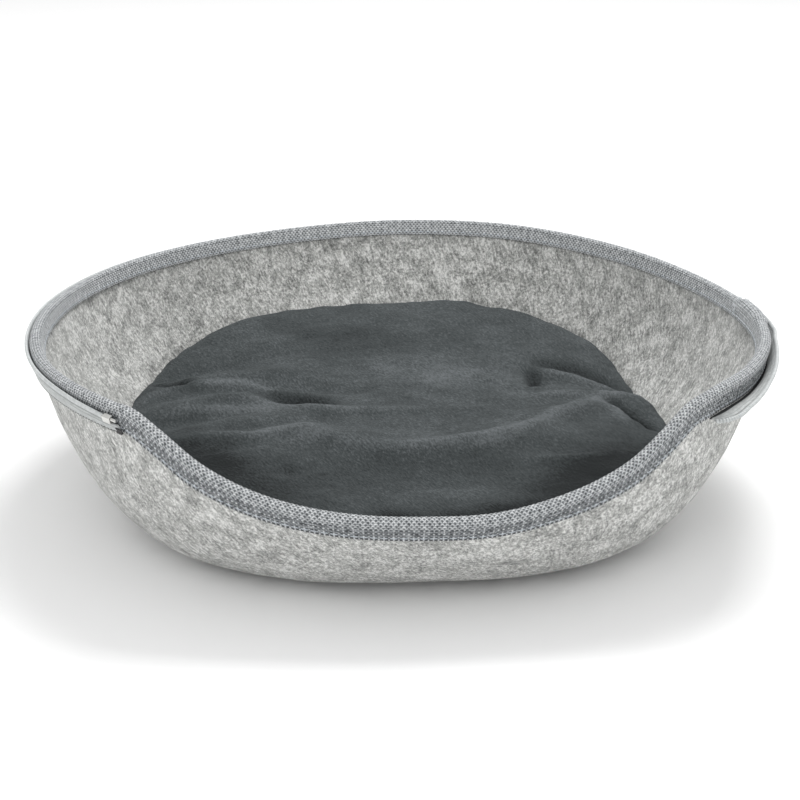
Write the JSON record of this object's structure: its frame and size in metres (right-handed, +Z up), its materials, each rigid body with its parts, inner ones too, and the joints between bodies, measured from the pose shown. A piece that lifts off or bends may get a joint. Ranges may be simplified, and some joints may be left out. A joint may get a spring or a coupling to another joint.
{
  "type": "lower half of a felt cat cave, open as a bed",
  "caption": "Shallow felt bowl with a low cut-down entrance, a bound rim, a zip half round the outside and a filled plush cushion inside.",
  "frame": {"origin": "on the floor under the middle of the whole part's box", "axes": "+Z up, -Y towards the low entrance at the front, +X towards the right as seen from the front"},
  "size_m": [0.4582, 0.4774, 0.1162],
  "materials": {
    "felt": "mottled pale grey wool felt, matte, with short loose fibres",
    "binding": "coarse blue-grey woven webbing, matte",
    "zip_cloth": "fine pale grey woven zip tape",
    "zip_nylon": "pale grey nylon coil",
    "zip_metal": "bright nickel-plated metal",
    "plush": "dark slate grey short-pile plush"
  },
  "bodies": {
    "root": {"felt_shell": "felt", "rim_binding": "binding", "zip_tape": "zip_cloth", "zip_coil": "zip_nylon", "zip_pin": "zip_metal", "cushion": "plush"}
  },
  "joints": []
}
